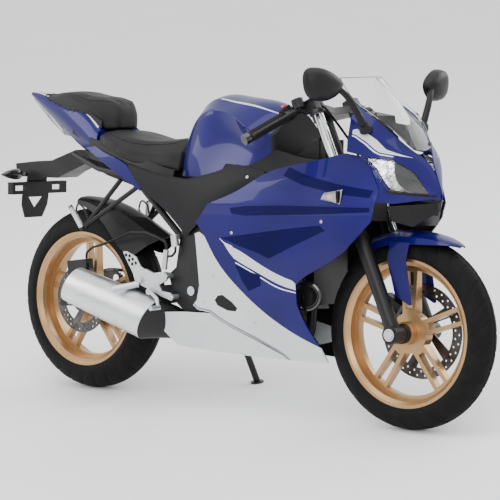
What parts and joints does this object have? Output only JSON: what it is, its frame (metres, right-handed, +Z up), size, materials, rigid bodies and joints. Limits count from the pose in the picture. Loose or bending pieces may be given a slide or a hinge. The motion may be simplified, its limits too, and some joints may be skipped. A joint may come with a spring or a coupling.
{
  "type": "sport bike",
  "caption": "Faired sport motorcycle with cast wheels, clip-on bars, a stepped seat and a low side silencer, parked on its side stand.",
  "frame": {"origin": "on the floor, below the middle of the parked bike's box", "axes": "+X to the front along the bike, +Y to the rider's left, +Z up; the bike leans 10 degrees to the left on its side stand"},
  "size_m": [1.9878, 0.7248, 1.1396],
  "materials": {
    "blue_paint": "deep blue metallic lacquer",
    "white_paint": "white lacquer",
    "dark_cover": "grained charcoal plastic",
    "black_plastic": "black moulded plastic",
    "seat_vinyl": "black grained seat cover",
    "tyre_rubber": "black tyre rubber",
    "gold_cast": "gold satin cast wheel",
    "disc_steel": "dark ground steel",
    "bright_steel": "hard chromed tube",
    "black_metal": "satin black",
    "silver_metal": "bead-blasted aluminium",
    "silencer": "brushed silver",
    "engine_metal": "dark cast aluminium",
    "clear_lens": "clear lens over reflectors",
    "amber_lens": "clear lens with amber bulb",
    "clear_screen": "clear acrylic",
    "grip_rubber": "ribbed black rubber"
  },
  "bodies": {
    "chassis": {"rear_caliper": "black_metal", "nose_cowl": "blue_paint", "headlights": "clear_lens", "windscreen": "clear_screen", "side_fairing_right": "blue_paint", "side_fairing_left": "blue_paint", "lower_fairing_right": "white_paint", "lower_fairing_left": "white_paint", "belly_pan": "white_paint", "fuel_tank": "blue_paint", "frame_cover_right": "dark_cover", "frame_cover_left": "dark_cover", "tail_cowl": "blue_paint", "tail_strips": "blue_paint", "tail_light": "clear_lens", "pillion_seat": "seat_vinyl", "rider_seat": "seat_vinyl", "main_frame": "black_metal", "rear_subframe": "black_metal", "engine": "engine_metal", "swingarm": "black_metal", "rear_axle": "bright_steel", "swingarm_pivot": "bright_steel", "rear_shock": "black_metal", "chain": "disc_steel", "muffler": "silencer", "exhaust_pipe": "black_metal", "radiator": "black_metal", "instrument_panel": "black_plastic", "nose_underpanel": "black_plastic", "mirror_right": "black_plastic", "mirror_left": "black_plastic", "front_indicators": "amber_lens", "rear_indicators": "black_plastic", "plate_holder": "black_plastic", "undertray": "black_plastic", "rear_hugger": "black_plastic", "rearset_right": "silver_metal", "rearset_left": "silver_metal", "rear_brake_hoses": "black_plastic", "pillion_pegs": "black_metal"},
    "steering": {"fork_tubes": "bright_steel", "fork_sliders": "black_metal", "front_axle": "bright_steel", "fork_yokes": "black_metal", "handlebars": "black_metal", "grips": "grip_rubber", "bar_ends": "bright_steel", "hand_controls": "black_plastic", "front_fender": "blue_paint", "front_brake_hose": "black_plastic", "front_caliper": "black_metal"},
    "front_wheel": {"front_rim": "gold_cast", "front_tyre": "tyre_rubber", "front_disc": "disc_steel"},
    "rear_wheel": {"rear_rim": "gold_cast", "rear_tyre": "tyre_rubber", "rear_disc": "disc_steel", "rear_sprocket": "disc_steel"},
    "stand": {"side_stand": "black_metal"}
  },
  "joints": [
    {"name": "steering_turn", "type": "hinge", "parent": "chassis", "child": "steering", "pos_m": [0.34305, -0.00545, 0.93262], "axis": [-0.4226, 0.1574, 0.8925], "range_deg": [-32.5, 27.5]},
    {"name": "front_wheel_spin", "type": "hinge", "parent": "steering", "child": "front_wheel", "pos_m": [0.69814, -0.1163, 0.29212], "axis": [-0.0395, 0.9807, -0.1916], "continuous": true},
    {"name": "rear_wheel_spin", "type": "hinge", "parent": "chassis", "child": "rear_wheel", "pos_m": [-0.65695, -0.11641, 0.30332], "axis": [0, 0.9848, -0.1736], "continuous": true},
    {"name": "side_stand_fold", "type": "hinge", "parent": "chassis", "child": "stand", "pos_m": [-0.15695, 0.02547, 0.23261], "axis": [0.0299, 0.9779, 0.2071], "range_deg": [0, 98]}
  ]
}
